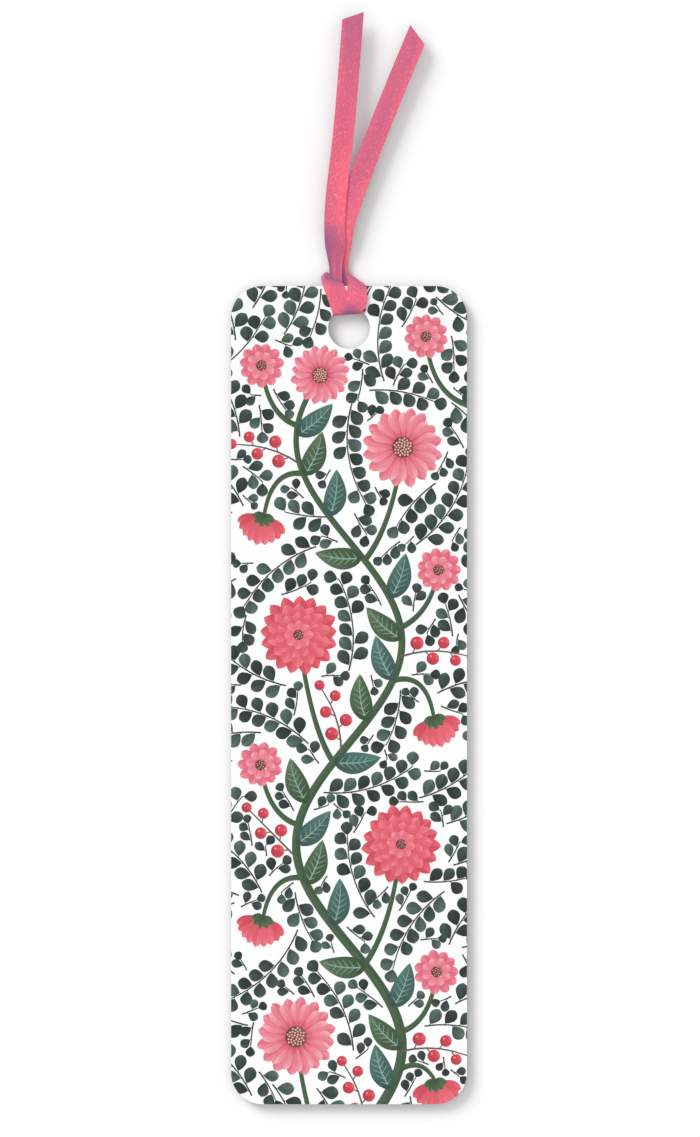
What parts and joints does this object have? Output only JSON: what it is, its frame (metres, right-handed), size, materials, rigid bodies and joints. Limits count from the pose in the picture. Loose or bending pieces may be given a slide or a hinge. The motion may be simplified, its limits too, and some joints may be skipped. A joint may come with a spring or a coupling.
{
  "type": "ribbon bookmark",
  "caption": "Flat card bookmark with rounded corners and a flower-printed face, and a satin ribbon hitched through its punched hole whose free tails fold over and splay.",
  "frame": {"origin": "the card's centre, halfway through its thickness", "axes": "+X across the card, +Y along it towards the ribbon, +Z out of the printed face"},
  "size_m": [0.049, 0.2267, 0.005],
  "materials": {
    "white_board": "matte uncoated white",
    "printed_paper": "smooth, colour printed",
    "coral_satin": "satin weave"
  },
  "bodies": {
    "card": {"card_board": "white_board", "printed_face": "printed_paper", "ribbon_hitch": "coral_satin"},
    "neck": {"ribbon_neck": "coral_satin"},
    "left_tail": {"left_tail": "coral_satin"},
    "right_tail": {"right_tail": "coral_satin"}
  },
  "joints": [
    {"name": "tails_lift", "type": "hinge", "parent": "card", "child": "neck", "pos_m": [0, 0.0893, -0.00057], "axis": [1, 0, 0], "range_deg": [-135, 135]},
    {"name": "left_tail_splay", "type": "hinge", "parent": "neck", "child": "left_tail", "pos_m": [-0.00287, 0.0939, -0.00006], "axis": [0, -0.0802, 0.9968], "range_deg": [-35, 35]},
    {"name": "right_tail_splay", "type": "hinge", "parent": "neck", "child": "right_tail", "pos_m": [-0.00156, 0.0939, -0.00045], "axis": [0, -0.0558, 0.9984], "range_deg": [-35, 35]}
  ]
}
